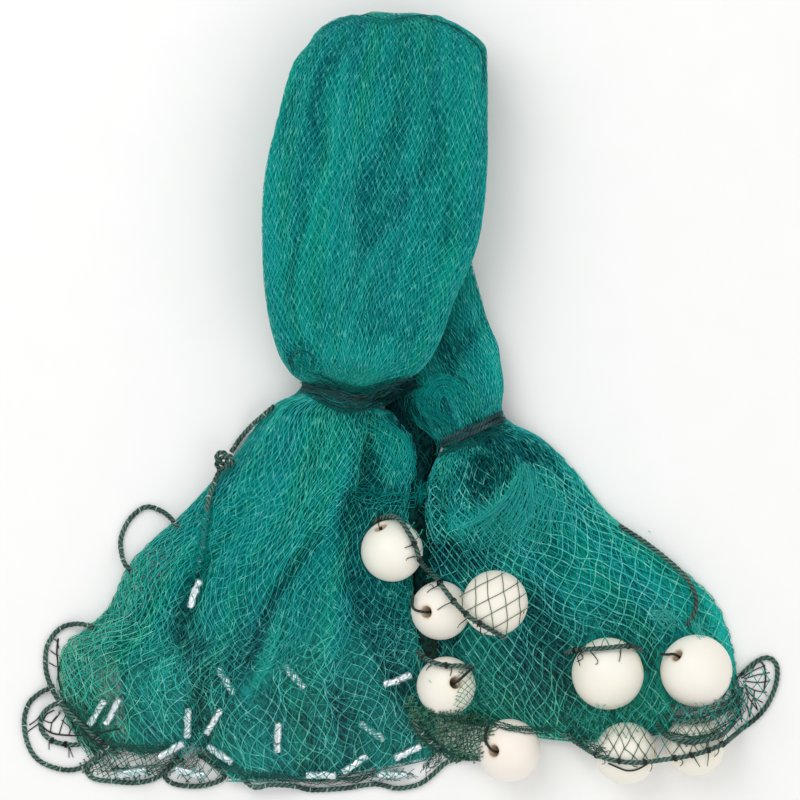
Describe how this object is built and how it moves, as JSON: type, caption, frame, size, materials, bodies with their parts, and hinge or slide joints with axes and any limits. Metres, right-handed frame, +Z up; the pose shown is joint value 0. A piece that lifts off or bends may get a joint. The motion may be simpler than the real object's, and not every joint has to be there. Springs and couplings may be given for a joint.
{
  "type": "fishing net",
  "caption": "Small seine net of green mesh, gathered into a hank, folded over and tied at two waists, with ball floats and lead sleeves along its roped hems.",
  "frame": {"origin": "middle of the netting's box, on the surface it lies on", "axes": "+Z up from the surface, the shortest side; +Y from the hems towards the fold, the longest side; +X towards the float side"},
  "size_m": [0.5338, 0.5464, 0.0769],
  "materials": {
    "net": "fine knotted nylon twine, semi-matte",
    "float": "smooth foam, matte ivory",
    "thread": "thin black cord",
    "sinker": "silvery pressed sleeve, satin",
    "rope": "laid rope, matte dark green",
    "tie": "braided cord, matte slate"
  },
  "bodies": {
    "root": {"netting": "net", "float_1": "float", "float_2": "float", "float_3": "float", "float_4": "float", "float_5": "float", "float_6": "float", "float_7": "float", "float_8": "float", "float_9": "float", "float_cord_1": "thread", "float_cord_2": "thread", "float_cord_3": "thread", "float_cord_4": "thread", "float_cord_5": "thread", "float_cord_6": "thread", "float_cord_7": "thread", "float_cord_8": "thread", "float_cord_9": "thread", "sinker_01": "sinker", "sinker_02": "sinker", "sinker_03": "sinker", "sinker_04": "sinker", "sinker_05": "sinker", "sinker_06": "sinker", "sinker_07": "sinker", "sinker_08": "sinker", "sinker_09": "sinker", "sinker_10": "sinker", "sinker_11": "sinker", "sinker_12": "sinker", "sinker_13": "sinker", "sinker_14": "sinker", "sinker_15": "sinker", "sinker_16": "sinker", "sinker_17": "sinker", "sinker_18": "sinker", "side_line": "rope", "side_line_tail": "rope", "lead_loop_a": "rope", "lead_loop_b": "rope", "lead_loop_c": "rope", "lead_loop_d": "rope", "lead_line_left": "rope", "lead_loop_e": "rope", "lead_line_right": "rope", "float_line_a": "rope", "float_line_b": "rope", "float_line_c": "rope", "shoulder_line": "rope", "float_hem": "rope", "inner_line_1": "rope", "inner_line_2": "rope", "lead_line_tail": "rope", "side_knot": "rope", "tie_left_1": "tie", "tie_left_2": "tie", "tie_right_1": "tie", "tie_right_2": "tie"}
  },
  "joints": []
}
